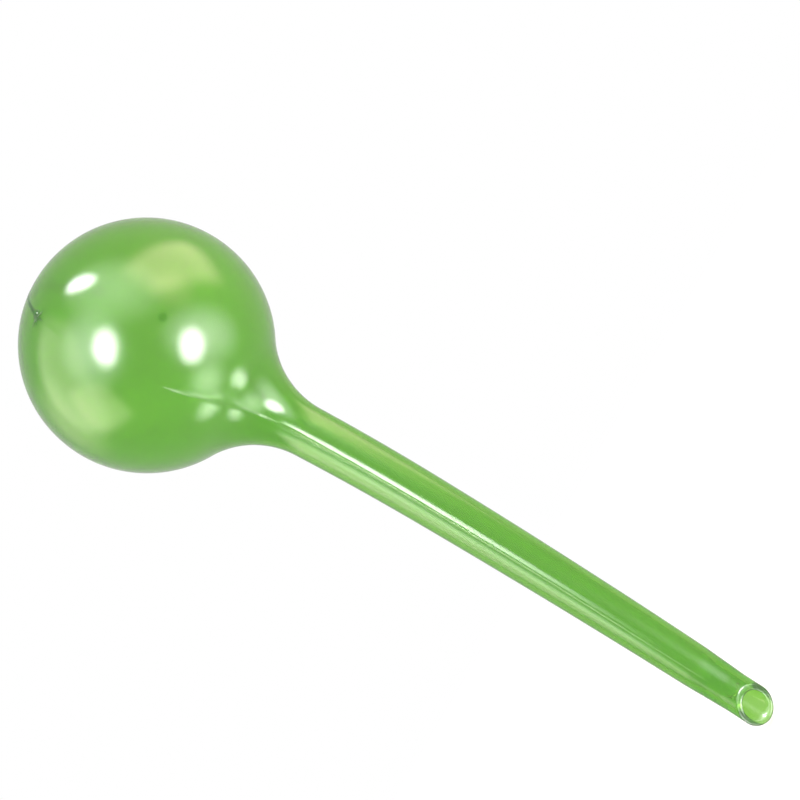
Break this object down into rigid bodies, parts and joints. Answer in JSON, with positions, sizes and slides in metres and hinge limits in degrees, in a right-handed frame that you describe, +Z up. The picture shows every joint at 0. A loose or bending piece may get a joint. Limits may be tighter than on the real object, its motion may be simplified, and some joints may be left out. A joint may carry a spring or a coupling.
{
  "type": "watering globe",
  "caption": "Hollow translucent bulb with a trumpet neck and a long hollow stem cut off at a slant; filled with water and pushed into potting soil.",
  "frame": {"origin": "level with the lowest point of the slanted spout, straight below the centre of the bulb: the point that is pushed into the soil", "axes": "+Z up as in use, bulb on top; -Y is the front, which the heel of the slanted cut faces; +X to the right seen from the front, the side that the stem bows to"},
  "size_m": [0.077, 0.077, 0.2556],
  "materials": {
    "green_pvc": "translucent, glossy, as blown",
    "green_pvc_seam": "translucent, glossy, fine ridge"
  },
  "bodies": {
    "root": {"bulb_shell": "green_pvc", "neck_flare": "green_pvc", "stem_upper": "green_pvc", "stem_lower": "green_pvc", "spout_tip": "green_pvc", "crown_weld": "green_pvc_seam", "bulb_flash_front": "green_pvc_seam", "bulb_flash_back": "green_pvc_seam", "stem_flash_front": "green_pvc_seam", "stem_flash_back": "green_pvc_seam", "needle_mark": "green_pvc_seam"}
  },
  "joints": []
}
